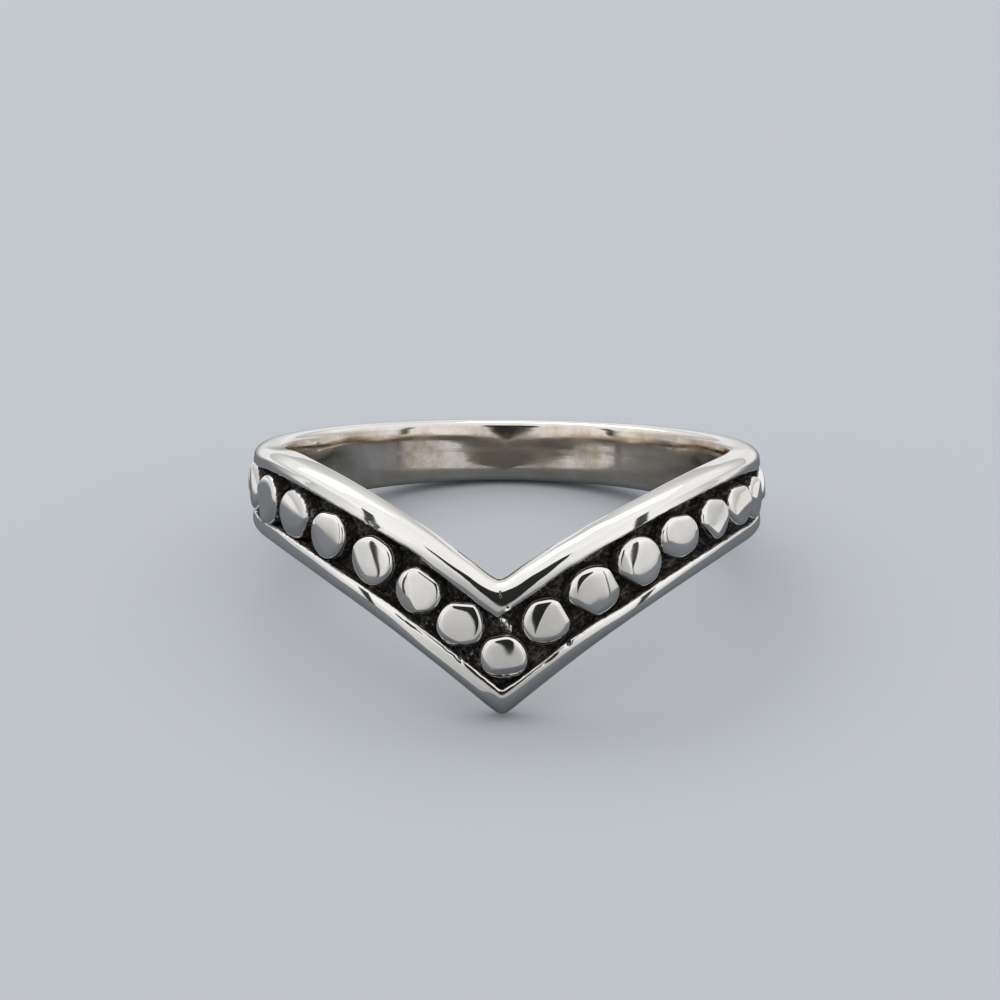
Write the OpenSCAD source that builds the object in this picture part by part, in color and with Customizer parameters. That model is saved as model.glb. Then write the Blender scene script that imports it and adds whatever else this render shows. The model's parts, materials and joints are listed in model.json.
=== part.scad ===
// Silver ring with a pointed front: two rails, a sunk channel and a row of flat beads, cast in one piece.
// Angles go round the finger hole from the point, which faces -Y, and are positive towards +X.

/* [Finger hole] */
// Diameter of the finger hole, 17.3 mm for US size 7
inner_d = 17.3; // [15:0.1:21]
// Rounding of the two inner edges
inner_round = 0.24; // [0.16:0.02:0.3]
// How far below the middle of the back the hole starts to widen, for comfort behind the point
ease_start = 2.7; // [2.6:0.05:3.4]
// Angle at which it widens from there
ease_angle = 0.6; // [0.3:0.1:1.5]

/* [Band] */
// Thickness from the finger hole to the top of the rails
band_t = 1.32; // [1.2:0.02:1.6]
// Half of the band's width at the point, measured across the band
front_half = 2; // [1.7:0.02:2.4]
// Half of the band's width at the back
back_half = 1.22; // [1:0.02:1.5]
// Width of the rounded outer corner on the rails at the point
rail_round = 0.52; // [0.3:0.02:0.6]
// Width of the rounded outer corner on the rails along the two arms
side_round = 0.74; // [0.6:0.02:0.78]
// Width of the rounded outer corner on the plain back
back_round = 0.86; // [0.6:0.02:0.95]
// Height of the rounded outer corners
round_h = 0.56; // [0.4:0.02:0.7]

/* [Point] */
// How far the bead row drops at the point
drop = 4.9; // [3:0.05:6]
// Angle at which the two arms run level
reach = 72; // [60:1:85]
// Angle over which the point is blunted
blunt = 1; // [0.4:0.1:2]

/* [Channel] */
// Depth of the channel below the top of the rails
channel_depth = 0.74; // [0.5:0.02:0.9]
// Share of the band's width that the channel takes
channel_share = 0.585; // [0.5:0.01:0.64]
// Angle at which the channel ends on each side
channel_end = 100; // [96:0.5:110]
// Angle over which the channel's end rises to the surface
channel_run_out = 5; // [4:0.5:10]
// Bevel on the channel's edges
edge_bevel = 0.07; // [0.04:0.01:0.1]

/* [Beads] */
// Height of the beads above the top of the rails
bead_rise = 0.15; // [0:0.01:0.3]
// Height of the crown on a bead's top
crown = 0.05; // [0.02:0.01:0.08]
// Width of a bead's rounded shoulder
shoulder_w = 0.26; // [0.1:0.02:0.4]
// Height of a bead's rounded shoulder
shoulder_h = 0.36; // [0.2:0.02:0.44]
// Columns: angle, diameter, shift towards the upper rail. The beads were set by hand, so all vary a little.
beads = [
    [-93.2, 1.68, 0.02], [-81.2, 1.72, 0.06], [-67.8, 1.82, 0.02], [-54.8, 1.86, 0.05],
    [-42.8, 1.80, 0.01], [-30.2, 1.84, 0.12], [-18.9, 1.84, 0.09], [-9.5, 1.86, -0.03],
    [0.5, 1.86, -0.18], [9.9, 1.82, -0.03], [20.6, 2.06, -0.03], [31.9, 1.96, 0.00],
    [43.1, 1.84, 0.01], [54.8, 1.60, -0.03], [66, 1.58, 0.00], [77.2, 1.64, 0.03], [88.9, 1.64, 0.02]
];

/* [Fineness] */
// Angle between the stations round the ring
station_step = 3; // [2.5:0.5:4]
// Steps in each rounded outer corner
corner_steps = 4; // [3:1:5]

/* [Hidden] */
inner_r = inner_d / 2;
rail_r = inner_r + band_t;
inner_steps = 3;
inner_turn = 78;
bore_cut = 0.25;
floor_round = 0.12;
bead_root = 0.15;
shoulder_steps = 3;
least_flat = 0.02;
side_start = 6;
side_full = 40;
bead_sides = 48;
bore_sides = 96;
steepest_rest = 40;
halvings = 24;

// Distance from the point, blunted close to it
function away(a) = sqrt(a * a + blunt * blunt);

// Height of the bead row above the middle of the back
function row_z(a) = away(a) < reach ? -drop * pow(1 - away(a) / reach, 2) : 0;

// Slope of the bead row
function row_slope(a) = atan(2 * drop / (reach * PI / 180 * rail_r) * max(0, 1 - away(a) / reach));

// Half widths across the band
function band_half(a) = back_half + (front_half - back_half) * pow(cos(a / 2), 2);
function channel_half(a) = channel_share * band_half(a);

// 1 in the channel, falling to 0 where it ends
function in_channel(a) = smooth((channel_end - abs(a)) / channel_run_out + 0.5);
function smooth(t) = let (u = min(1, max(0, t))) u * u * (3 - 2 * u);

// Width of the outer corner, which grows away from the point and again round the back, into a low dome
function corner_w(a) =
    rail_round
    + (side_round - rail_round) * smooth((abs(a) - side_start) / (side_full - side_start))
    + (back_round - side_round) * smooth((abs(a) - reach) / (180 - reach));

// Radius of the band's outer surface at a distance w from the middle of the band
function outer_r(a, w) =
    let (
        flat = band_half(a) - corner_w(a),
        t = max(0, abs(w) - flat) / corner_w(a)
    )
    rail_r - round_h * (1 - sqrt(max(0, 1 - t * t)));

// Upper half of the section at angle a, from the middle of the channel's floor to the finger hole.
// Each point is a distance across the band and a radius.
function half_section(a) =
    let (
        half = band_half(a),
        edge = channel_half(a),
        deep = channel_depth * in_channel(a),
        bevel = edge_bevel * in_channel(a),
        flat = max(edge + edge_bevel + least_flat, half - corner_w(a))
    )
    concat(
        [
            [0, outer_r(a, 0) - deep],
            [edge - floor_round - bevel, outer_r(a, edge) - deep],
            [edge - bevel / 2, outer_r(a, edge) - deep + floor_round * in_channel(a)],
            [edge, outer_r(a, edge) - bevel],
            [edge + edge_bevel, outer_r(a, edge + edge_bevel)]
        ],
        [for (i = [1 : corner_steps])
            let (t = 90 * i / corner_steps, w = flat + (half - flat) * sin(t))
            [w, outer_r(a, w)]],
        [for (i = [0 : inner_steps])
            let (t = inner_turn * i / inner_steps)
            [half - inner_round * (1 - cos(t)), inner_r + inner_round * (1 - sin(t))]],
        [[half - inner_round - bore_cut, inner_r - bore_cut]]
    );

// The whole section: the upper half, then the lower half from the finger hole back up to the floor
function section(a) =
    let (up = half_section(a), n = len(up))
    concat(up, [for (i = [n - 1 : -1 : 1]) [-up[i][0], up[i][1]]]);

// A point of the section, in the ring's own upright frame
function place(a, p) =
    [p[1] * sin(a), -p[1] * cos(a), row_z(a) + p[0] / cos(row_slope(a))];

stations = [for (a = [-180 : station_step : 180 - station_step]) a];
rings = [for (a = stations) [for (p = section(a)) place(a, p)]];
points = [for (r = rings) each r];
across = len(rings[0]);
round_count = len(stations);

// The ring rests on its point and on the back. At this tilt both touch the table.
function tilted_z(p, t) = p[2] * cos(t) - p[1] * sin(t);
function tilted_y(p, t) = p[1] * cos(t) + p[2] * sin(t);
function lowest(a, t) = min([for (p = section(a)) tilted_z(place(a, p), t)]);
function rest_tilt(lo, hi, n) =
    let (mid = (lo + hi) / 2)
    n == 0 ? mid
    : lowest(0, mid) < lowest(-180, mid) ? rest_tilt(mid, hi, n - 1)
    : rest_tilt(lo, mid, n - 1);

tilt = rest_tilt(0, steepest_rest, halvings);
table_z = min([for (p = points) tilted_z(p, tilt)]);
ys = [for (p = points) tilted_y(p, tilt)];
middle_y = (min(ys) + max(ys)) / 2;

module resting() {
    translate([0, -middle_y, -table_z])
        rotate([-tilt, 0, 0])
            children();
}

// The swept band, with its inner wall left thick for the finger hole's cut
module band() {
    faces = [
        for (i = [0 : round_count - 1])
            for (j = [0 : across - 1])
                let (
                    a = i * across + j,
                    b = i * across + (j + 1) % across,
                    c = ((i + 1) % round_count) * across + (j + 1) % across,
                    d = ((i + 1) % round_count) * across + j
                )
                each [[a, b, c], [a, c, d]]
    ];
    polyhedron(points = points, faces = faces);
}

// Straight where the band goes all the way round, and eased behind the point
module finger_hole() {
    run = 2 * drop + front_half;
    rotate_extrude($fn = bore_sides)
        polygon([
            [0, -run], [inner_r + (run - ease_start) * tan(ease_angle), -run],
            [inner_r, -ease_start], [inner_r, run], [0, run]
        ]);
}

// A flat round bead standing on the channel's floor, with its axis along +Z from the finger hole's axis
module bead(d) {
    root = rail_r - channel_depth - bead_root;
    top = rail_r + bead_rise;
    rotate_extrude($fn = bead_sides)
        polygon(concat(
            [[0, root], [d / 2, root]],
            [for (i = [0 : shoulder_steps])
                let (t = 90 * i / shoulder_steps)
                [d / 2 - shoulder_w * (1 - cos(t)), top - crown - shoulder_h * (1 - sin(t))]],
            [[0, top]]
        ));
}

module bead_row() {
    for (b = beads)
        translate([0, 0, row_z(b[0]) + b[2]])
            rotate([90, 0, b[0]])
                bead(b[1]);
}

module ring() {
    color("silver")
        resting()
            union() {
                difference() {
                    band();
                    finger_hole();
                }
                bead_row();
            }
}

ring();
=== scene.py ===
import json
import math

import bmesh
import bpy
from mathutils import Matrix, Vector, noise


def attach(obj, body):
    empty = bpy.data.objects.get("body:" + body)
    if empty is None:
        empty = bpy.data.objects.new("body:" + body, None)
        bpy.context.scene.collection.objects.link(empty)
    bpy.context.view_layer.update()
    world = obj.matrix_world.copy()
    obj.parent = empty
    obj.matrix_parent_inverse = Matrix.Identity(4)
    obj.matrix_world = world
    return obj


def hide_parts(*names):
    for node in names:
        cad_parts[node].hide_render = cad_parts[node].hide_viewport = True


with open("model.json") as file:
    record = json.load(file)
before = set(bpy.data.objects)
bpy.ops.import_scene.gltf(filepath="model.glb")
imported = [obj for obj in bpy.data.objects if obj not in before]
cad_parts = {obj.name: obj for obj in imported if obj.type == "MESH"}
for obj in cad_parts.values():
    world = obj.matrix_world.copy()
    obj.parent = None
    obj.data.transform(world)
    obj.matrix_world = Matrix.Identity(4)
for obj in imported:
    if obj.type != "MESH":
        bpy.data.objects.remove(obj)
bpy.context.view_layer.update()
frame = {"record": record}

# All lengths are in millimetres, and all angles in degrees round the ring from its point, positive towards
# +X, unless a comment or a name says otherwise.
MM = 0.001

# Driving sizes, as in the part's own source
INNER_R = 8.65
INNER_ROUND = 0.24
BAND_T = 1.32
FRONT_HALF = 2.0
BACK_HALF = 1.22
BACK_ROUND = 0.86
ROUND_H = 0.56
DROP = 4.9
REACH = 72
BLUNT = 1.0
CHANNEL_DEPTH = 0.74
CHANNEL_SHARE = 0.585
CHANNEL_END = 100
CHANNEL_RUN_OUT = 5
BEAD_RISE = 0.15
RAIL_R = INNER_R + BAND_T
FLOOR_R = RAIL_R - CHANNEL_DEPTH

# Width of the rounding at the band's edges, outside the domes of the rails
CORNER_W = 0.34
# Radius of the dome over a rail: as a rule, where the upper rail is worn flat and where the lower one is
DOME_R = 0.87
WORN_UPPER_DOME_R = 4.5
WORN_LOWER_DOME_R = 2.6
# Width and height of the rounding at the channel's edges: as a rule, and where the lower rail is worn flat
EDGE_ROUND = 0.07
EDGE_ROUND_H = 0.04
WORN_EDGE_ROUND = 0.16
WORN_EDGE_ROUND_H = 0.05
# Where the channel ends, the rounding keeps this share of its width
LEAST_EDGE = 0.05
# Rounding at the foot of the channel's walls
FOOT = 0.16
# Share of the blackening that polishing takes off the top of the walls, and how fast that fades downwards
WALL_BARED = 0.6
WALL_BARED_POWER = 5
# On the plain back, which has no channel, its points are spread evenly up to this far past its line
PLAIN_SPREAD = 0.08
# Least width of a rail's top between its two roundings
LEAST_FLAT = 0.02
# The inner wall widens towards its rims: radius and width of that rounding
CROWN_R = 2.6
CROWN_W = 0.5

# Stretches round the ring: the angle at which each starts and the angle over which it grows in
SIDES = (6, 34)
WORN_ARMS = (22, 20)
WORN_LEFT = (-26, 12)
WORN_LEFT_END = (2, 4)
# Where the crest of each rail goes from its left line to its right one: the angle that it takes on the upper
# rail, centred on the point, and where it starts and the angle that it takes on the lower one
UPPER_TURN = 6
LOWER_TURN = (-6, 5)
# How far the highest line of each rail lies from the channel's edge: to the left of the point, to the right
# of it, and on the arms. The upper rail has one more, where its arms are worn flat.
UPPER_CREST = (0.27, 0.16, -0.05, -0.35)
LOWER_CREST = (0.33, 0.16, 0.30)

# Fineness of the band's mesh: steps round the ring, and over each stretch of its section
STATIONS = 900
FLOOR_STEPS = 9
WALL_STEPS = 4
EDGE_STEPS = 4
DOME_STEPS = 9
CORNER_STEPS = 9
RIM_STEPS = 5
CROWN_STEPS = 5
# Lines on the straight part of the inner wall, as shares of its half width
STRAIGHT_LINES = (0.67, 0.33, 0.0)
# Points closer than this are merged
MERGE = 1e-5

# The finger hole's mount gives the place and lean of the resting ring
hole = next(m for m in frame["record"]["mounts"] if m["name"] == "finger_hole")
hole_axis = Vector(hole["axis"]).normalized()
LEAN = math.atan2(hole_axis.y, hole_axis.z)
RESTING = Matrix.Translation(Vector(hole["pos_m"])) @ Matrix.Rotation(-LEAN, 4, "X") @ Matrix.Scale(MM, 4)


# Shape of the band, as in the part's own source, with the finish of the rails added


def smooth_step(t):
    t = min(1.0, max(0.0, t))
    return t * t * (3 - 2 * t)


def fade(value, start, width):
    """0 up to the start, growing to 1 over the width."""
    return smooth_step((value - start) / width)


def mix(a, b, t):
    return a + (b - a) * t


def quarter_turn(steps, first=0):
    """Angles from 0 to 90 degrees in equal steps, in radians."""
    return [math.radians(90 * i / steps) for i in range(first, steps + 1)]


def row_z(a, blunt=BLUNT):
    """Height of the bead row above the middle of the back."""
    away = math.hypot(a, blunt)
    return -DROP * (1 - away / REACH) ** 2 if away < REACH else 0.0


def row_slope(a):
    run = math.radians(REACH) * RAIL_R
    return math.atan(2 * DROP / run * max(0.0, 1 - math.hypot(a, BLUNT) / REACH))


def band_half(a):
    return mix(BACK_HALF, FRONT_HALF, math.cos(math.radians(a / 2)) ** 2)


def channel_half(a):
    return CHANNEL_SHARE * band_half(a)


def in_channel(a):
    """1 in the channel, falling to 0 where it ends."""
    return smooth_step((CHANNEL_END - abs(a)) / CHANNEL_RUN_OUT + 0.5)


def towards_sides(a):
    """0 at the point, growing to 1 where the arms are well away from it."""
    return fade(abs(a), *SIDES)


def worn_arms(a):
    """1 where the top of the upper rail is worn flat on the arms, 0 near the point."""
    return fade(abs(a), *WORN_ARMS)


def worn_left(a):
    """1 where the top of the lower rail is worn flat, to the left of the point."""
    return fade(a, *WORN_LEFT) * fade(-a, *WORN_LEFT_END)


def crest(a, side):
    """How far a rail's highest line is from the channel. Side 1 is the upper rail, side -1 the lower."""
    if side > 0:
        left, right, arms, worn = UPPER_CREST
        near = mix(left, right, smooth_step(a / UPPER_TURN + 0.5))
        return mix(mix(near, arms, towards_sides(a)), worn, worn_arms(a))
    left, right, arms = LOWER_CREST
    near = mix(left, right, fade(a, *LOWER_TURN))
    return mix(near, arms, towards_sides(a))


def dome_radius(a, side):
    if side > 0:
        return mix(DOME_R, WORN_UPPER_DOME_R, worn_arms(a))
    return mix(DOME_R, WORN_LOWER_DOME_R, worn_left(a))


def edge_round(a, side):
    """Width and height of the rounding at the channel's edge."""
    worn = worn_left(a) if side < 0 else 0.0
    width = mix(EDGE_ROUND, WORN_EDGE_ROUND, worn)
    height = mix(EDGE_ROUND_H, WORN_EDGE_ROUND_H, worn)
    return width * max(LEAST_EDGE, in_channel(a)), height * in_channel(a)


def outer_r(a, w, side):
    """Radius of the outer surface: a low dome over each rail, rounded off at both of its edges."""
    half = band_half(a)
    edge = channel_half(a)
    back = fade(abs(a), REACH, 180 - REACH)
    corner = mix(CORNER_W, BACK_ROUND, back)
    top = edge + crest(a, side)
    curve = (1 - back) / (2 * dome_radius(a, side))
    dome = curve * (w - top) ** 2
    if w < top:
        dome *= in_channel(a)
    t = max(0.0, w - half + corner) / corner
    r = RAIL_R - dome - (ROUND_H - curve * (half - top) ** 2) * (1 - math.sqrt(max(0.0, 1 - t * t)))
    width, height = edge_round(a, side)
    u = min(1.0, max(0.0, 1 - (w - edge) / width))
    return r - height * (1 - math.sqrt(1 - u * u))


def inner_r(w, straight):
    """Radius of the inner wall, which widens a little from the end of its straight part to its rim."""
    return INNER_R + max(0.0, w - straight) ** 2 / (2 * CROWN_R)


def channel_section(a, side):
    """The channel from its middle over its wall to the end of its rounded edge, at full depth."""
    edge = channel_half(a)
    width, _ = edge_round(a, side)
    top = outer_r(a, edge, side)
    bottom = top - (CHANNEL_DEPTH - EDGE_ROUND_H)
    spots = []
    for i in range(FLOOR_STEPS + 1):
        spots.append(((edge - FOOT) * i / FLOOR_STEPS, bottom, 1.0))
    for t in quarter_turn(WALL_STEPS, 1):
        spots.append((edge - FOOT * (1 - math.sin(t)), bottom + FOOT * (1 - math.cos(t)), 1.0))
    for i in range(1, WALL_STEPS + 1):
        t = i / WALL_STEPS
        patina = 1 - WALL_BARED * t ** WALL_BARED_POWER
        spots.append((edge, bottom + FOOT + (top - bottom - FOOT) * t, patina))
    for t in quarter_turn(EDGE_STEPS, 1):
        w = edge + width * (1 - math.cos(t))
        spots.append((w, outer_r(a, w, side), 0.0))
    return spots


def inner_section(half):
    """The rounded rim, and the inner wall as far as its middle."""
    rim = half - INNER_ROUND
    straight = rim - CROWN_W
    rim_r = inner_r(rim, straight)
    spots = []
    for t in quarter_turn(RIM_STEPS):
        r = mix(rim_r, INNER_R + INNER_ROUND, 1 - math.sin(t))
        spots.append((half - INNER_ROUND * (1 - math.cos(t)), r, 0.0))
    for i in range(1, CROWN_STEPS + 1):
        w = rim - CROWN_W * i / CROWN_STEPS
        spots.append((w, inner_r(w, straight), 0.0))
    for share in STRAIGHT_LINES:
        spots.append((share * straight, INNER_R, 0.0))
    return spots


def half_section(a, side):
    """Section from the middle of the channel to the middle of the inner wall: (across, radius, patina)."""
    half = band_half(a)
    inside = in_channel(a)
    channel = channel_section(a, side)
    spots = []
    for i, (w, r, p) in enumerate(channel):
        plain_w = (channel_half(a) + PLAIN_SPREAD) * i / (len(channel) - 1)
        plain_r = outer_r(a, plain_w, side)
        spots.append((mix(plain_w, w, inside), mix(plain_r, r, inside), p * inside))
    first = spots[-1][0]
    flat = max(first + LEAST_FLAT, half - CORNER_W)
    for i in range(1, DOME_STEPS):
        w = first + (flat - first) * i / DOME_STEPS
        spots.append((w, outer_r(a, w, side), 0.0))
    for t in quarter_turn(CORNER_STEPS):
        w = mix(flat, half, math.sin(t))
        spots.append((w, outer_r(a, w, side), 0.0))
    return spots + inner_section(half)


def section(a):
    up = half_section(a, 1)
    down = [(-w, r, p) for w, r, p in half_section(a, -1)[-2:0:-1]]
    return up + down


# The hand-finished rails wander a little. Columns: angle, and how far the hole's front edge, the channel's
# upper edge and its lower edge lie above their rule there.
WANDER = [
    (-85, 0, 0, 0),
    (-60, 0.11, 0.16, 0.10),
    (-40, 0.12, 0.17, 0.09),
    (-28, 0.10, 0.16, 0.15),
    (-20, 0.09, 0.16, 0.13),
    (-15, 0.09, 0.02, 0.13),
    (-9, 0.08, 0, 0.13),
    (-4, 0.05, -0.07, 0.12),
    (0, 0.06, -0.05, 0.11),
    (4, 0.07, -0.07, 0.03),
    (9, 0.04, -0.05, 0.03),
    (15, 0.06, 0.12, 0.09),
    (20, 0.05, 0.16, 0.06),
    (28, -0.04, 0.14, -0.05),
    (40, -0.08, 0.16, -0.03),
    (60, -0.08, 0.14, 0),
    (85, 0, 0, 0),
]
# The upper rail's point lies this many degrees to the left of the lower one's, at the channel and at the
# hole's edge
UPPER_SWAY = (1.0, 0.7)
# Where that shift fades out: the angle at which this starts, and the angle that it takes
SWAY_END = (10, 8)
# Degrees over which the point is blunted at the channel, and how many more at the band's two edges
CHANNEL_BLUNT = 0.3
UPPER_EDGE_BLUNT = 0.9
LOWER_EDGE_BLUNT = 1.1
# The top of the upper rail is blunter than its two edges, by this much half way between them
MID_BLUNT = 1.2


def wander(a):
    for low, high in zip(WANDER, WANDER[1:]):
        if low[0] <= a < high[0]:
            t = fade(a, low[0], high[0] - low[0])
            return [mix(p, q, t) for p, q in zip(low[1:], high[1:])]
    return [0.0, 0.0, 0.0]


def place(a, w, r):
    """A point of the section in the ring's own upright frame."""
    edge = channel_half(a)
    outward = max(0.0, (abs(w) - edge) / (band_half(a) - edge))
    inward = min(1.0, abs(w) / edge)
    at_hole, at_upper, at_lower = wander(a)
    if w > 0:
        near = 1 - fade(abs(a), *SWAY_END)
        sway = near * inward * mix(*UPPER_SWAY, outward)
        lift = inward * mix(at_upper, at_hole, outward)
        blunt = CHANNEL_BLUNT + UPPER_EDGE_BLUNT * outward
        blunt += MID_BLUNT * math.sin(math.pi * min(1.0, outward))
        z = row_z(a + sway, blunt) + lift
    else:
        z = row_z(a, CHANNEL_BLUNT + LOWER_EDGE_BLUNT * outward) + inward * at_lower * (1 - outward)
    t = math.radians(a)
    return Vector((r * math.sin(t), -r * math.cos(t), z + w / math.cos(row_slope(a))))


# Mesh of the band

# Where the inner wall's finish fades out, and where the outer side's fades in: distance outwards from the
# finger hole, and the width of the change
HOLE_FINISH_END = (0.04, 0.1)
OUTER_FINISH = (0.2, 0.2)


def new_piece(name, bm, materials):
    mesh = bpy.data.meshes.new(name)
    bm.to_mesh(mesh)
    bm.free()
    mesh.polygons.foreach_set("use_smooth", [True] * len(mesh.polygons))
    for material in materials:
        mesh.materials.append(material)
    piece = bpy.data.objects.new(name, mesh)
    bpy.context.scene.collection.objects.link(piece)
    return piece


def spin_section(bm, spot):
    """Spins the section at the point round the finger hole. Each vertex keeps its number in the section."""
    profile = []
    for i, (w, r, _) in enumerate(section(0)):
        v = bm.verts.new(place(0, w, r))
        v[spot] = i
        profile.append(v)
    edges = [bm.edges.new((v, profile[i - 1])) for i, v in enumerate(profile)]
    bmesh.ops.spin(
        bm,
        geom=profile + edges,
        cent=(0, 0, 0),
        axis=(0, 0, 1),
        angle=2 * math.pi,
        steps=STATIONS,
        use_merge=True,
    )
    bmesh.ops.remove_doubles(bm, verts=bm.verts, dist=MERGE)
    bm.verts.index_update()


def shape_stations(bm, spot, patina):
    """Moves each vertex to the section at its own angle. Returns its angle and distance across the band."""
    step = 360 / STATIONS
    sections = {}
    along = {}
    for v in bm.verts:
        station = round(math.degrees(math.atan2(v.co.x, -v.co.y)) / step)
        a = step * station
        if station not in sections:
            sections[station] = section(a)
        w, r, p = sections[station][v[spot]]
        along[v.index] = (a, w)
        v[patina] = p
        v.co = place(a, w, r)
    return along


def across_map(vert, w):
    """Distance across the band, with the inner wall set apart from the outer side."""
    r = math.hypot(vert.co.x, vert.co.y)
    return w + (RAIL_R - r) if w > 0 else w - (RAIL_R - r)


def unroll(bm, uv, along):
    """Lays the band's own map along it, in millimetres. No face spans the seam at the back."""
    for f in bm.faces:
        first = along[f.loops[0].vert.index][0]
        for loop in f.loops:
            a, w = along[loop.vert.index]
            if a - first > 180:
                a -= 360
            if first - a > 180:
                a += 360
            loop[uv].uv = (math.radians(a) * RAIL_R, across_map(loop.vert, w))


def make_band(materials):
    bm = bmesh.new()
    spot = bm.verts.layers.int.new("spot")
    patina = bm.verts.layers.float.new("patina")
    inside = bm.verts.layers.float.new("inside")
    uv = bm.loops.layers.uv.new("along")
    spin_section(bm, spot)
    along = shape_stations(bm, spot, patina)
    for v in bm.verts:
        v[inside] = 1.0 - fade(math.hypot(v.co.x, v.co.y) - INNER_R, *HOLE_FINISH_END)
    unroll(bm, uv, along)
    roughen(bm, patina, along)
    bmesh.ops.recalc_face_normals(bm, faces=bm.faces)
    bmesh.ops.transform(bm, matrix=RESTING, verts=bm.verts)
    return new_piece("band", bm, materials)


# Marks of the casting. Columns: angle, distance across the band, reach along, reach across, height (a
# negative height is a dent), and how far the patina changes there: -1 bares the silver, 1 blackens it.
MARKS = [
    (-9.3, -1.13, 0.09, 0.09, -0.10, 1.0),
    (-8.3, -1.16, 0.08, 0.06, 0.05, -1.0),
    (-0.5, 1.02, 0.09, 0.07, 0.26, -0.8),
    (0.2, 0.86, 0.10, 0.08, 0.32, -1.0),
    (1.0, 0.68, 0.07, 0.11, 0.30, -1.0),
    (1.9, 0.47, 0.07, 0.11, 0.26, -1.0),
    (1.3, 1.13, 0.07, 0.06, 0.22, -0.8),
    (-0.5, 1.72, 0.045, 0.04, -0.008, 1.0),
    (-0.4, 1.60, 0.045, 0.04, -0.008, 1.0),
    (14.7, -1.22, 0.08, 0.06, -0.07, 1.0),
    (10.9, -1.25, 0.30, 0.035, -0.03, 0.9),
    (-20.5, -1.28, 0.60, 0.03, -0.02, 0.7),
    (-29.5, 1.30, 0.22, 0.03, -0.02, 0.6),
]
# A mark is left out where the square of the distance from it, in its own reaches, is more than this
MARK_LIMIT = 12
# How much further than its relief the stain of a mark spreads
STAIN_SPREAD = 1.6

# Waves left by polishing, as noise. Columns: waves per millimetre along the band and across it, place
# across the noise, and height.
POLISH_WAVES = (0.5, 0.5, 3, 0.014)
POLISH_STREAKS = (0.16, 3.2, 8, 0.007)
HOLE_WAVES = (0.34, 0.6, 17, 0.030)
# Grain on the channel's floor and walls. Columns: waves per millimetre and height.
COARSE_GRAIN = (2.6, 0.09)
FINE_GRAIN = (6.5, 0.07)
# Raggedness of the channel's edges. Columns: waves per millimetre, place across the noise, and height.
RAGGED = ((3.1, 5, 0.035), (8.3, 9, 0.03))
# How wide the ragged line is, and how far it moves outwards for each step across
RAGGED_WIDTH = 0.045
RAGGED_LIFT = 0.5


def marks_at(a, w):
    """How far the marks move the surface at this place of the band, and how they change its patina."""
    height = 0.0
    patina = 0.0
    for angle, across, long, wide, rise, stain in MARKS:
        u = math.radians(a - angle) * RAIL_R / long
        v = (w - across) / wide
        if u * u + v * v < MARK_LIMIT:
            share = math.exp(-u * u - v * v)
            height += rise * share
            patina += stain * min(1.0, STAIN_SPREAD * share)
    return height, patina


def waves(way, w, along, across, start, height):
    return noise.noise(Vector((way.x * along, way.y * along, w * across + start))) * height


def grain_at(co, waves_per_mm, height):
    return noise.noise(co * waves_per_mm) * height


def ragged_at(a, w):
    """How far the channel's edge wanders across the band here."""
    arc = math.radians(a) * RAIL_R
    ragged = 0.0
    for waves_per_mm, start, height in RAGGED:
        ragged += noise.noise(Vector((arc * waves_per_mm, 0, math.copysign(start, w)))) * height
    return ragged


def roughen(bm, patina, along):
    """Cast grain, ragged edges and marks at the channel, and the slight waves that hand polishing leaves."""
    for v in bm.verts:
        a, w = along[v.index]
        r = math.hypot(v.co.x, v.co.y)
        out = Vector((v.co.x, v.co.y, 0)).normalized()
        p = v[patina]
        outside = fade(r - INNER_R, *OUTER_FINISH)
        way = out * RAIL_R
        polish = waves(way, w, *POLISH_WAVES) + waves(way, w, *POLISH_STREAKS)
        grain = grain_at(v.co, *COARSE_GRAIN) + grain_at(v.co, *FINE_GRAIN)
        hollow = waves(way, w, *HOLE_WAVES)
        v.co += out * (polish * (1 - p) * outside + grain * p + hollow * (1 - outside))
        edge = math.exp(-((abs(w) - channel_half(a)) / RAGGED_WIDTH) ** 2) * in_channel(a)
        ragged = ragged_at(a, w)
        v.co += Vector((0, 0, math.copysign(edge * ragged, w))) + out * edge * ragged * RAGGED_LIFT
        if outside > 0.5:
            height, stain = marks_at(a, w)
            v.co += out * height
            v[patina] = min(1.0, max(0.0, p + stain))


# The plain top of a bead, as one of its flats
PLAIN_TOP = (0, 0, 0, 8)
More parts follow.
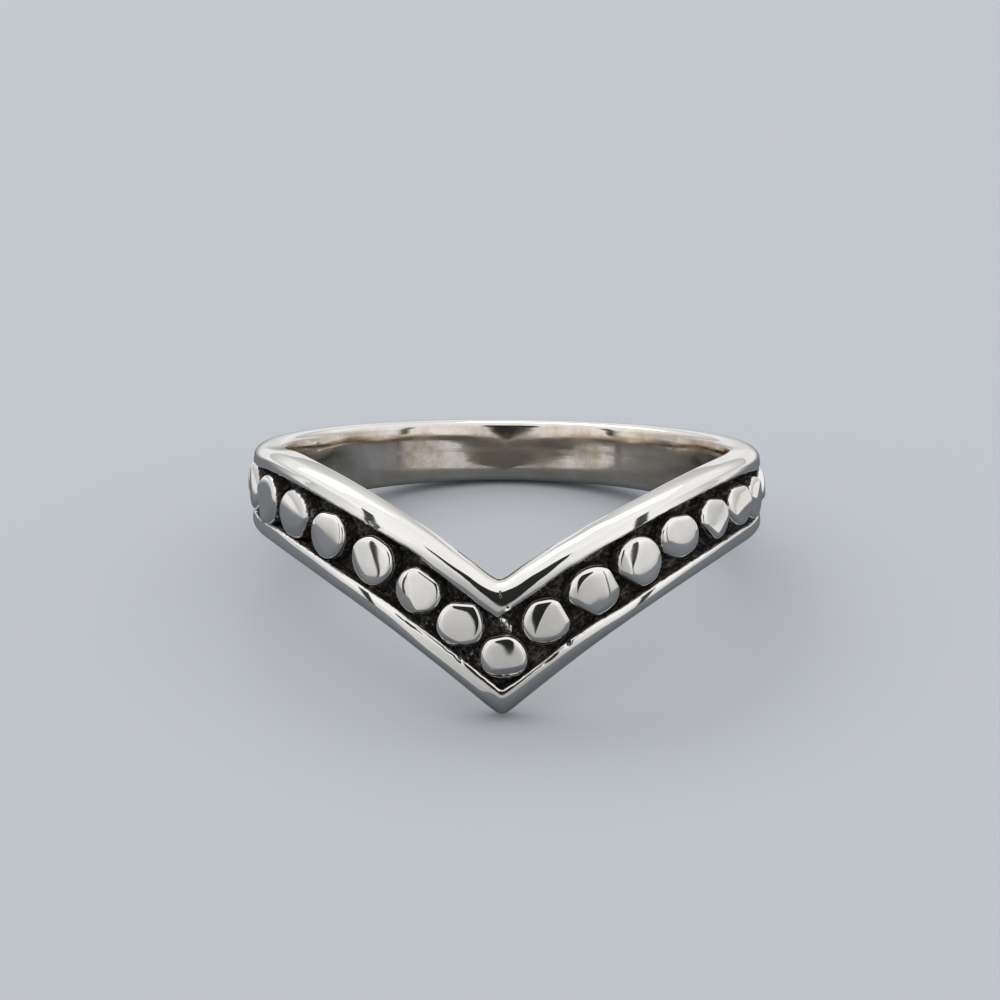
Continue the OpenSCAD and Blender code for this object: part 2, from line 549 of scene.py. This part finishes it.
# Columns: angle round the ring, shift towards the upper rail, length along the row, width across it, flats,
# and cuts in the outline. A flat has its direction, 0 to the right and 90 up, its tilt from the bead's own
# top, how far out it starts as a share of the bead's half width, and the radius of its dome. A cut has its
# direction and how far out it lies, as a share of the half width.
BEADS = [
    (-93.2, 0.02, 1.68, 1.68,
     ((200, 5, 0.1, 8), (-90, 34, 0.4, 8)),
     ((40, 1.02), (-130, 1.02))),
    (-80.8, 0.179, 1.832, 1.819,
     ((29, 28.9, 0.25, 6.6), (-62, 40.6, 1.63, 2.9), PLAIN_TOP),
     ((-35, 1.34), (-197, 1.05))),
    (-68.29, -0.008, 1.929, 1.935,
     ((-13, 27, 0.55, 5), (55, 10.2, -0.14, 24.1), (-158, 19.7, 0.54, 37.5), (150, 16.8, 0.94, 30.7)),
     ((29, 1.14), (-68, 1.14))),
    (-54.85, 0.037, 2.035, 1.948,
     ((-4, 2.2, 0.52, 2.5), (69, 9.1, -0.49, 6.8), (50, 12.7, 0.76, 22.5), (-12, 42.4, 1.35, 2.7),
      PLAIN_TOP),
     ((-48, 1.26), (-33, 0.91))),
    (-42.66, 0.031, 1.814, 1.895,
     ((67, 5.2, -0.71, 14.9), (-162, 8.9, 0.23, 9.6), (-69, 26.3, 0.85, 5.7), PLAIN_TOP),
     ((88, 0.9), (-109, 1.15))),
    (-30.16, 0.118, 1.958, 1.898,
     ((67, 6.1, 0.04, 20.6), (-162, 19.3, 0.5, 8.5), (-94, 34.5, 1.16, 14.9), (127, 3.7, -0.33, 27.5)),
     ((63, 0.95), (-104, 1.12))),
    (-18.99, 0.093, 1.908, 1.817,
     ((160, 7.9, -0.29, 29), (34, 9, -0.65, 28), (-75, 42.7, 0.74, 24.1), (114, 12.1, 0.52, 7.1),
      (-11, 30.5, 0.83, 26.4), (180, 9.6, -0.06, 7), PLAIN_TOP),
     ((57, 0.86), (-42, 1.05))),
    (-9.18, -0.05, 1.843, 1.958,
     ((20, 6.4, -0.65, 19.6), (-93, 3.1, 0.7, 17.9), (-108, 35.2, 0.57, 4.4), (13, 54.7, 0.71, 4.8),
      PLAIN_TOP),
     ((87, 0.88), (-78, 0.81))),
    (0.41, -0.262, 1.8, 1.897,
     ((-144, 2, -0.05, 10.4), (-169, 8.4, 0.28, 12.7), (-85, 38.1, 0.4, 5.5), (-5, 6.3, 0.8, 15.5)),
     ((-68, 0.95), (-258, 0.92))),
    (9.63, 0.056, 1.878, 1.841,
     ((166, 10.1, 0.2, 17.5), (-76, 1.9, -0.22, 41.9), (-79, 33.9, 0.64, 8.7), (160, 33.2, 0.7, 15.6)),
     ((31, 0.9), (-258, 0.96))),
    (20.42, -0.028, 2.209, 1.977,
     ((-164, 5.5, 0.07, 10.2), (-175, 9.8, 0.07, 19.8), (10, 8.8, 0.72, 8.4), (-66, 26.8, 0.68, 12.8),
      (119, 19.6, 0.85, 22.6), (180, 14.6, 0.34, 3.6)),
     ((31, 1), (-116, 0.8))),
    (31.65, 0.003, 2.048, 2.002,
     ((112, 8.7, -0.22, 25.7), (178, 21.5, 0.38, 60), (54, 5.7, -0.71, 11.4), (-79, 19.2, 0.69, 19.9),
      (132, 14.1, 0.62, 23.7), PLAIN_TOP),
     ((-28, 1.04), (-120, 0.8))),
    (42.53, 0.069, 1.981, 1.808,
     ((-162, 28.8, 0.63, 3.3), (117, 6.7, -0.76, 16.3), (-80, 33.2, 0.65, 17.6), (67, 7.8, 1.07, 30.6),
      (172, 5.8, -0.46, 6), PLAIN_TOP),
     ((91, 0.92), (-111, 0.89))),
    (54.54, 0.048, 1.736, 1.678,
     ((102, 12.5, -0.31, 22.5), (-17, 9.7, 0.63, 60), (-72, 38.8, 1.03, 23.9), (52, 17.9, 0.92, 60)),
     ((82, 0.86), (-132, 0.85))),
    (65.26, 0.083, 1.851, 1.661,
     ((118, 17.2, 0.09, 11.2), (168, 23.1, 0.9, 2.5), (-45, 17.7, 1.16, 12.2), (152, 4.2, 0.95, 34.9)),
     ((89, 0.82), (-40, 0.93))),
    (77.2, -0.034, 1.855, 1.667,
     ((127, 24.1, 0.27, 60), (-174, 24.3, 0.44, 19.5), (-60, 35, 0.97, 21.1), PLAIN_TOP),
     ((229, 1.12), (-183, 1.1))),
    (88.9, 0.02, 1.64, 1.64,
     ((20, 6, 0.1, 8), (-90, 34, 0.4, 8)),
     ((140, 1.02), (-40, 1.02))),
]
BEAD_TOP = RAIL_R + BEAD_RISE - FLOOR_R
# Fineness of a bead: its sides, its rings before the cut, the angle from its top at which it is cut off,
# and a power that sets the rings closer together towards the top
BEAD_SIDES = 120
BEAD_RINGS = 130
BEAD_LOWEST = 97
RING_POWER = 1.35
# Sharpness of the creases between the flats, of the corners in the outline, and of the rim
CREASE = 120
OUTLINE_CREASE = 40
RIM = 11
# Height on a bead up to which it is black, and the height over which the black ends
BLACK_END = (0.5, 0.2)
# Least values that keep a root and a power from failing
LEAST_ROOT = 1e-9
LEAST_CUT = 0.001


def domed_flat(direction, tilt, start, dome, half):
    """A slightly domed flat: its sphere's middle, from the middle of the bead's root, and its radius."""
    d = math.radians(direction)
    t = math.radians(tilt)
    normal = Vector((math.sin(t) * math.cos(d), math.sin(t) * math.sin(d), math.cos(t)))
    height = start * half * math.sin(t) + BEAD_TOP * math.cos(t)
    return normal * (height - dome), dome


def dome_distance(d, middle, dome):
    """How far the domed flat lies from the root along the unit direction d."""
    along = d.dot(middle)
    return along + math.sqrt(max(LEAST_ROOT, along * along - middle.length_squared + dome * dome))


def bead_reach(d, domes, cuts, turn, long, wide):
    """Distance from the root to the bead's skin: soft creases between the flats, and a rounded rim."""
    top = sum(dome_distance(d, middle, dome) ** -CREASE for middle, dome in domes) ** (-1 / CREASE)
    along = d.x * math.cos(turn) + d.y * math.sin(turn)
    across = d.y * math.cos(turn) - d.x * math.sin(turn)
    side = math.hypot(along / (long / 2), across / (wide / 2)) ** OUTLINE_CREASE
    for direction, share in cuts:
        t = math.radians(direction)
        cut = (d.x * math.cos(t) + d.y * math.sin(t)) / (share * wide / 2)
        side += max(LEAST_CUT, cut) ** OUTLINE_CREASE
    side = side ** (1 / OUTLINE_CREASE)
    return (top ** -RIM + side ** RIM) ** (-1 / RIM)


def bead_frame(a, shift):
    """Sets a bead's root on the channel floor, with X to the right, Y up the ring's axis, Z outwards."""
    t = math.radians(a)
    out = Vector((math.sin(t), -math.cos(t), 0))
    right = Vector((math.cos(t), math.sin(t), 0))
    up = Vector((0, 0, 1))
    turn = Matrix((right, up, out)).transposed().to_4x4()
    return Matrix.Translation(out * FLOOR_R + up * (row_z(a) + shift)) @ turn


def cut_ball():
    """A ball, cut off flat a little below its middle."""
    bead = bmesh.new()
    bead.verts.layers.float.new("patina")
    bmesh.ops.create_uvsphere(bead, u_segments=BEAD_SIDES, v_segments=BEAD_RINGS, radius=1)
    geom = bead.verts[:] + bead.edges[:] + bead.faces[:]
    depth = math.cos(math.radians(BEAD_LOWEST))
    cut = bmesh.ops.bisect_plane(
        bead,
        geom=geom,
        plane_co=(0, 0, depth),
        plane_no=(0, 0, -1),
        clear_outer=True,
    )
    rim = [g for g in cut["geom_cut"] if isinstance(g, bmesh.types.BMEdge)]
    bmesh.ops.holes_fill(bead, edges=rim, sides=0)
    return bead


def bead_shape(a, shift, long, wide, flats, cuts):
    """One bead: a cut ball with its vertices moved out to the bead's skin."""
    bead = cut_ball()
    patina = bead.verts.layers.float["patina"]
    domes = [domed_flat(*flat, wide / 2) for flat in flats]
    turn = math.copysign(row_slope(a), a)
    lowest = math.radians(BEAD_LOWEST)
    for v in bead.verts:
        d = v.co.normalized()
        polar = lowest * min(1.0, math.acos(max(-1.0, min(1.0, d.z))) / lowest) ** RING_POWER
        flat_way = Vector((d.x, d.y, 0))
        if flat_way.length > 0:
            flat_way.normalize()
        d = flat_way * math.sin(polar) + Vector((0, 0, math.cos(polar)))
        v.co = d * bead_reach(d, domes, cuts, turn, long, wide)
        v[patina] = 1 - fade(v.co.z, *BLACK_END)
    bmesh.ops.transform(bead, matrix=RESTING @ bead_frame(a, shift), verts=bead.verts)
    return bead


def make_beads(name, rows, materials):
    part = bmesh.new()
    part.verts.layers.float.new("patina")
    for row in rows:
        bead = bead_shape(*row)
        mesh = bpy.data.meshes.new("one_bead")
        bead.to_mesh(mesh)
        bead.free()
        part.from_mesh(mesh)
        bpy.data.meshes.remove(mesh)
    return new_piece(name, part, materials)


# Node trees

NODE_GAP = 200


def add(tree, kind, **settings):
    """A new node, to the right of the ones before it."""
    node = tree.nodes.new(kind)
    node.location.x = NODE_GAP * len(tree.nodes)
    for key, value in settings.items():
        setattr(node, key, value)
    return node


def feed(tree, socket, value):
    """Sets a socket to a number or a colour, or links another node's output to it."""
    if isinstance(value, (int, float, tuple)):
        socket.default_value = value
    else:
        tree.links.new(value, socket)


def math_node(tree, operation, a, b=None, clamp=False):
    node = add(tree, "ShaderNodeMath", operation=operation, use_clamp=clamp)
    feed(tree, node.inputs[0], a)
    if b is not None:
        feed(tree, node.inputs[1], b)
    return node.outputs[0]


def ramp(tree, value, low, high, out_low=0.0, out_high=1.0):
    node = add(tree, "ShaderNodeMapRange")
    node.inputs["From Min"].default_value = low
    node.inputs["From Max"].default_value = high
    node.inputs["To Min"].default_value = out_low
    node.inputs["To Max"].default_value = out_high
    tree.links.new(value, node.inputs["Value"])
    return node.outputs["Result"]


def noise_value(tree, vector, scale, detail=2.0, rough=0.5):
    node = add(tree, "ShaderNodeTexNoise")
    feed(tree, node.inputs["Scale"], scale)
    node.inputs["Detail"].default_value = detail
    node.inputs["Roughness"].default_value = rough
    tree.links.new(vector, node.inputs["Vector"])
    return node.outputs["Fac"]


def mix_colour(tree, factor, a, b):
    node = add(tree, "ShaderNodeMix", data_type="RGBA")
    feed(tree, node.inputs["A"], a)
    feed(tree, node.inputs["B"], b)
    tree.links.new(factor, node.inputs["Factor"])
    return node.outputs["Result"]


def new_material(name):
    material = bpy.data.materials.new(name)
    material.use_nodes = True
    tree = material.node_tree
    return material, tree, tree.nodes["Principled BSDF"]


def new_group(name, outputs):
    """A group that takes a vector and a scale, with its input and its output node."""
    group = bpy.data.node_groups.new(name, "ShaderNodeTree")
    face = group.interface
    face.new_socket("Vector", in_out="INPUT", socket_type="NodeSocketVector")
    face.new_socket("Scale", in_out="INPUT", socket_type="NodeSocketFloat")
    for output in outputs:
        face.new_socket(output, in_out="OUTPUT", socket_type="NodeSocketFloat")
    return group, add(group, "NodeGroupInput"), add(group, "NodeGroupOutput")


def place_group(tree, group, vector, scale):
    node = add(tree, "ShaderNodeGroup", node_tree=group)
    node.inputs["Scale"].default_value = scale
    tree.links.new(vector, node.inputs["Vector"])
    return node


# Cast grain: its noise, a broad noise that lifts it, and the sums of both between which a grain gets bared
GRAIN_DETAIL = 5
GRAIN_ROUGH = 0.68
BROAD_GRAIN_SHARE = 0.14
BROAD_GRAIN_DETAIL = 1
BROAD_GRAIN_LIFT = 0.5
BARED_LIMITS = (0.63, 0.70)
# Rubbing marks: their detail, and the broad patches in which they are duller
RUB_DETAIL = 3
PATCH_SHARE = 0.3
PATCH_DETAIL = 2
PATCH_LIMITS = (0.38, 0.66)


def cast_grain_group():
    """Grain of the blackened casting: its height, and the high grains that polishing has bared."""
    group, start, end = new_group("cast_grain", ("Height", "Bared"))
    vector = start.outputs["Vector"]
    scale = start.outputs["Scale"]
    height = noise_value(group, vector, scale, GRAIN_DETAIL, GRAIN_ROUGH)
    broad_scale = math_node(group, "MULTIPLY", scale, BROAD_GRAIN_SHARE)
    broad = noise_value(group, vector, broad_scale, BROAD_GRAIN_DETAIL)
    lifted = math_node(group, "MULTIPLY", math_node(group, "SUBTRACT", broad, 0.5), BROAD_GRAIN_LIFT)
    bared = ramp(group, math_node(group, "ADD", height, lifted), *BARED_LIMITS)
    group.links.new(height, end.inputs["Height"])
    group.links.new(bared, end.inputs["Bared"])
    return group


def rubbing_group():
    """Fine rubbing marks: a height, and a mask of the duller patches."""
    group, start, end = new_group("rubbing_marks", ("Height", "Dull"))
    vector = start.outputs["Vector"]
    scale = start.outputs["Scale"]
    patches = noise_value(group, vector, math_node(group, "MULTIPLY", scale, PATCH_SHARE), PATCH_DETAIL)
    group.links.new(noise_value(group, vector, scale, RUB_DETAIL), end.inputs["Height"])
    group.links.new(ramp(group, patches, *PATCH_LIMITS), end.inputs["Dull"])
    return group


SILVER = (0.93, 0.915, 0.89, 1)
RUBBED_SILVER = (0.85, 0.83, 0.80, 1)
# Warm colour of the inner wall: partly tarnish, partly a painted reflection of a brown wooden table
WARM_TARNISH_AND_REFLECTION = (0.64, 0.54, 0.43, 1)
BLACKENED = (0.012, 0.009, 0.007, 1)
DUSTY_BLACK = (0.205, 0.172, 0.142, 1)
FIBRES = (0.420, 0.370, 0.320, 1)

# Scales are waves per metre on Object coordinates, and waves per millimetre on the band's own map
GRAIN_SCALE = 6500
# Edge of the black: the noise that makes it ragged, and the values of the patina between which it sets in
BLACK_EDGE_SCALE = 5200
BLACK_EDGE_DETAIL = 3
BLACK_EDGE_DEPTH = 0.9
BLACK_LIMITS = (0.35, 0.55)
# How much of the black a bared grain loses
BARED_SHARE = 0.7
# The black turns dusty between these two heights of the grain
DUST_LIMITS = (0.49, 0.65)
# Fibres in the channel: stretch along it, scale, detail, roughness of the noise, limits and greatest share
FIBRE_STRETCH = 0.3
FIBRE_NOISE = (6, 4, 0.6)
FIBRE_LIMITS = (0.55, 0.70)
FIBRE_SHARE = 0.8
# Rubbing marks on the band, stretched along it, and on the beads
RUB_STRETCH = 0.12
BAND_RUB_SCALE = 9
BEAD_RUB_SCALE = 2600
# The inner wall's warm blotches are partly tarnish and partly a painted reflection of a wooden table.
# Blotches on the inner wall: noise, its limits, least and greatest warmth, and the added roughness
BLOTCH_NOISE = (480, 7, 0.7)
BLOTCH_LIMITS = (0.36, 0.64)
WARMTH = (0.2, 1.0)
DULL_FROM = 0.2
BLOTCH_ROUGH = (0.01, 0.16)
# Roughness of the silver between its bright and its dull patches, and what the black adds
SILVER_ROUGH = (0.035, 0.085)
BLACK_ROUGH = 0.45
BLACK_METALLIC = 0.1
# Relief of the rubbing marks and of the cast grain, in metres
RUB_RELIEF_M = 0.0000009
GRAIN_RELIEF_M = 0.00012


def blackening(tree, spot, grain):
    """How far the black covers the silver: ragged at its edge, and bared on the high grains."""
    patina = add(tree, "ShaderNodeAttribute", attribute_name="patina").outputs["Fac"]
    ragged = noise_value(tree, spot, BLACK_EDGE_SCALE, BLACK_EDGE_DETAIL)
    ragged = math_node(tree, "MULTIPLY", math_node(tree, "SUBTRACT", ragged, 0.5), BLACK_EDGE_DEPTH)
    black = ramp(tree, math_node(tree, "ADD", patina, ragged), *BLACK_LIMITS)
    bared = math_node(tree, "MULTIPLY", grain.outputs["Bared"], BARED_SHARE)
    return math_node(tree, "SUBTRACT", black, bared, True)


def stretched(tree, along, share):
    """The band's own map, with what lies on it drawn out along the band."""
    node = add(tree, "ShaderNodeMapping")
    node.inputs["Scale"].default_value = (share, 1, 1)
    tree.links.new(along, node.inputs["Vector"])
    return node.outputs["Vector"]


def fibred(tree, along, soot):
    """The channel's black with paler fibres along it."""
    fibre = noise_value(tree, stretched(tree, along, FIBRE_STRETCH), *FIBRE_NOISE)
    return mix_colour(tree, ramp(tree, fibre, *FIBRE_LIMITS, 0, FIBRE_SHARE), soot, FIBRES)


def tarnish_and_painted_reflection_wall(tree, spot, metal):
    """The silver with the inner wall's warm blotches, part tarnish and part painted reflection, and the
    roughness that they add.
    """
    inside = add(tree, "ShaderNodeAttribute", attribute_name="inside").outputs["Fac"]
    blotch = ramp(tree, noise_value(tree, spot, *BLOTCH_NOISE), *BLOTCH_LIMITS)
    warm = math_node(tree, "MULTIPLY", inside, ramp(tree, blotch, 0, 1, *WARMTH))
    dull = math_node(tree, "MULTIPLY", inside, ramp(tree, blotch, DULL_FROM, 1, *BLOTCH_ROUGH))
    return mix_colour(tree, warm, metal, WARM_TARNISH_AND_REFLECTION), dull


def relief(tree, shader, marks, grain, black):
    """Rubbing marks all over, and the cast grain where the silver is black."""
    fine = math_node(tree, "MULTIPLY", marks.outputs["Height"], RUB_RELIEF_M)
    cast = math_node(tree, "MULTIPLY", grain.outputs["Height"], black)
    coarse = math_node(tree, "MULTIPLY", cast, GRAIN_RELIEF_M)
    bump = add(tree, "ShaderNodeBump")
    bump.inputs["Distance"].default_value = 1.0
    tree.links.new(math_node(tree, "ADD", fine, coarse), bump.inputs["Height"])
    tree.links.new(bump.outputs["Normal"], shader.inputs["Normal"])


def silver_material(name, groups, on_band):
    """Polished silver that turns into the blackened, grainy casting where the patina attribute is high."""
    material, tree, shader = new_material(name)
    spot = add(tree, "ShaderNodeTexCoord").outputs["Object"]
    grain = place_group(tree, groups["grain"], spot, GRAIN_SCALE)
    black = blackening(tree, spot, grain)
    soot = mix_colour(tree, ramp(tree, grain.outputs["Height"], *DUST_LIMITS), BLACKENED, DUSTY_BLACK)
    if on_band:
        along = add(tree, "ShaderNodeUVMap", uv_map="along").outputs["UV"]
        marks = place_group(tree, groups["marks"], stretched(tree, along, RUB_STRETCH), BAND_RUB_SCALE)
        soot = fibred(tree, along, soot)
    else:
        marks = place_group(tree, groups["marks"], spot, BEAD_RUB_SCALE)
    rubbed = marks.outputs["Dull"]
    metal = mix_colour(tree, rubbed, SILVER, RUBBED_SILVER)
    rough = ramp(tree, rubbed, 0, 1, *SILVER_ROUGH)
    if on_band:
        # Warm blotches on the inner wall: part tarnish, part painted reflection of a wooden table
        metal, dull = tarnish_and_painted_reflection_wall(tree, spot, metal)
        rough = math_node(tree, "ADD", rough, dull)
    rough = math_node(tree, "ADD", rough, math_node(tree, "MULTIPLY", black, BLACK_ROUGH))
    tree.links.new(mix_colour(tree, black, metal, soot), shader.inputs["Base Color"])
    tree.links.new(ramp(tree, black, 0, 1, 1.0, BLACK_METALLIC), shader.inputs["Metallic"])
    tree.links.new(rough, shader.inputs["Roughness"])
    relief(tree, shader, marks, grain, black)
    return material


# Painted reflection: the metal reflects the floor in a deeper colour near the ring than the camera sees,
# and as a painted pale sheen behind it, between two distances in metres
FLOOR_COLOUR = (0.52, 0.55, 0.59, 1)
MIRRORED_NEAR = (0.115, 0.132, 0.150, 1)
MIRRORED_SHEEN_BEHIND = (0.82, 0.81, 0.82, 1)
BEHIND_M = (0.014, 0.026)
FLOOR_ROUGH = 0.7
FLOOR_SIZE_M = 2.0


def floor_material():
    """A pale matt table. Its colour in the metal's reflections is painted: deeper near the ring, with a
    painted pale sheen towards the back.
    """
    material, tree, shader = new_material("pale_floor")
    mirrored = add(tree, "ShaderNodeLightPath").outputs["Is Glossy Ray"]
    parts = add(tree, "ShaderNodeSeparateXYZ")
    tree.links.new(add(tree, "ShaderNodeTexCoord").outputs["Object"], parts.inputs["Vector"])
    behind = ramp(tree, parts.outputs["Y"], *BEHIND_M)
    # Painted reflection: a deeper tone near the ring and a painted pale sheen behind it, for glossy rays
    # only
    reflected = mix_colour(tree, behind, MIRRORED_NEAR, MIRRORED_SHEEN_BEHIND)
    tree.links.new(mix_colour(tree, mirrored, FLOOR_COLOUR, reflected), shader.inputs["Base Color"])
    shader.inputs["Roughness"].default_value = FLOOR_ROUGH
    return material


def make_floor():
    bm = bmesh.new()
    bmesh.ops.create_grid(bm, x_segments=1, y_segments=1, size=FLOOR_SIZE_M)
    floor = new_piece("floor", bm, [floor_material()])


# Camera values that were fitted to the photograph. The focal length is in pixels of a picture this wide.
VIEW_DOWN = 27.7
VIEW_AROUND = -1.0
FOCAL_PX = 5546
PICTURE_PX = 1000
DISTANCE = 218.5
AIM = Vector((-0.265, 0.0, -0.651))
SENSOR = 36
NEAREST_M = 0.01
FURTHEST_M = 20


def make_camera():
    down = math.radians(VIEW_DOWN)
    around = math.radians(VIEW_AROUND)
    ahead = Vector((math.sin(around) * math.cos(down), math.cos(around) * math.cos(down), -math.sin(down)))
    target = Vector(hole["pos_m"]) + AIM * MM
    data = bpy.data.cameras.new("camera")
    data.sensor_width = SENSOR
    data.lens = FOCAL_PX / PICTURE_PX * SENSOR
    data.clip_start = NEAREST_M
    data.clip_end = FURTHEST_M
    camera = bpy.data.objects.new("camera", data)
    camera.location = target - ahead * DISTANCE * MM
    camera.rotation_euler = ahead.to_track_quat("-Z", "Y").to_euler()
    bpy.context.scene.collection.objects.link(camera)
    bpy.context.scene.camera = camera


# Soft light tent seen by the silver, with its camera opening and two dark seams. Columns: direction round
# from the camera's side, half width at the foot and higher up, heights of the foot, of the full width and
# of the top, softness, all in degrees, and the light there as a share of the tent's own.
TENT_GAPS = [
    (-0.5, 0.5, 18.0, 8, 36, 47, 1.2, 0.03),
    (-60, 0.8, 3.2, -6, 22, 29, 0.8, 0.05),
    (60.5, 0.8, 3.2, -6, 22, 29, 0.8, 0.05),
]
# Columns: angle above the horizon, light
TENT_LEVELS = [(0, 0.40), (2, 0.52), (9, 0.60), (22, 0.86), (45, 0.95), (65, 0.95), (90, 0.97)]
# Columns: direction round from the camera's side, light. Between the two heights that follow, the tent gets
# even all round.
TENT_SIDES = [(0, 0.80), (10, 0.80), (22, 0.92), (40, 1.25), (60, 1.35), (110, 1.2), (180, 1.05)]
EVEN_HEIGHTS = (12, 40)
# One softbox behind the ring, in metres and watts, aimed at the origin
SOFTBOX_PLACE_M = (-0.15, 0.35, 0.45)
SOFTBOX_SIZE_M = (0.5, 0.35)
SOFTBOX_POWER = 0.6


def gap_mask(tree, around, height, middle, foot_half, full_half, foot, full, top, soft):
    """1 in a gap of the tent and 0 off it."""
    half = ramp(tree, height, foot, full, foot_half, full_half)
    off = math_node(tree, "ABSOLUTE", math_node(tree, "SUBTRACT", around, middle))
    side = ramp(tree, math_node(tree, "SUBTRACT", off, half), 0, soft, 1, 0)
    bottom = ramp(tree, height, foot - soft, foot)
    head = ramp(tree, height, top, top + 2 * soft, 1, 0)
    return math_node(tree, "MULTIPLY", math_node(tree, "MULTIPLY", side, bottom), head)


def light_by_angle(tree, value, levels, reach):
    """Light by an angle, from a table of angles and levels."""
    tone = add(tree, "ShaderNodeValToRGB")
    first, last = tone.color_ramp.elements
    first.color = (levels[0][1],) * 3 + (1,)
    last.color = (levels[-1][1],) * 3 + (1,)
    for angle, level in levels[1:-1]:
        tone.color_ramp.elements.new(angle / reach).color = (level, level, level, 1)
    tree.links.new(ramp(tree, value, 0, reach), tone.inputs["Fac"])
    return tone.outputs["Color"]


def tent_directions(tree):
    """Height above the horizon, and direction round from the camera's side, both in degrees."""
    parts = add(tree, "ShaderNodeSeparateXYZ")
    tree.links.new(add(tree, "ShaderNodeTexCoord").outputs["Generated"], parts.inputs["Vector"])
    towards = math_node(tree, "MULTIPLY", parts.outputs["Y"], -1)
    height = math_node(tree, "ARCSINE", parts.outputs["Z"])
    around = math_node(tree, "ARCTAN2", parts.outputs["X"], towards)
    return [math_node(tree, "MULTIPLY", angle, 180 / math.pi) for angle in (height, around)]


def make_world():
    world = bpy.data.worlds.new("light_tent")
    world.use_nodes = True
    bpy.context.scene.world = world
    tree = world.node_tree
    background = tree.nodes["Background"]
    height, around = tent_directions(tree)
    sides = light_by_angle(tree, math_node(tree, "ABSOLUTE", around), TENT_SIDES, 180)
    low = ramp(tree, height, *EVEN_HEIGHTS, 1, 0)
    light = math_node(tree, "MULTIPLY", math_node(tree, "SUBTRACT", sides, 1.0), low)
    light = math_node(tree, "ADD", light, 1.0)
    for *gap, share in TENT_GAPS:
        mask = gap_mask(tree, around, height, *gap)
        light = math_node(tree, "MULTIPLY", light, ramp(tree, mask, 0, 1, 1, share))
    lit = add(tree, "ShaderNodeVectorMath", operation="SCALE")
    tree.links.new(light_by_angle(tree, height, TENT_LEVELS, 90), lit.inputs[0])
    tree.links.new(light, lit.inputs["Scale"])
    tree.links.new(lit.outputs["Vector"], background.inputs["Color"])


def make_softbox():
    data = bpy.data.lights.new("back_softbox", "AREA")
    data.shape = "RECTANGLE"
    data.size, data.size_y = SOFTBOX_SIZE_M
    data.energy = SOFTBOX_POWER
    light = bpy.data.objects.new("back_softbox", data)
    light.location = SOFTBOX_PLACE_M
    light.rotation_euler = (-Vector(SOFTBOX_PLACE_M)).to_track_quat("-Z", "Y").to_euler()
    bpy.context.scene.collection.objects.link(light)


groups = {"grain": cast_grain_group(), "marks": rubbing_group()}
bead_silver = silver_material("silver_beads", groups, False)
band = make_band([silver_material("silver_band", groups, True)])
left_beads = make_beads("left_beads", [row for row in BEADS if row[0] < 0], [bead_silver])
right_beads = make_beads("right_beads", [row for row in BEADS if row[0] > 0], [bead_silver])
for piece in (band, left_beads, right_beads):
    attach(piece, "root")
    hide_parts("ring")
make_floor()
make_camera()
make_world()
make_softbox()
bpy.context.scene.view_settings.view_transform = "Standard"
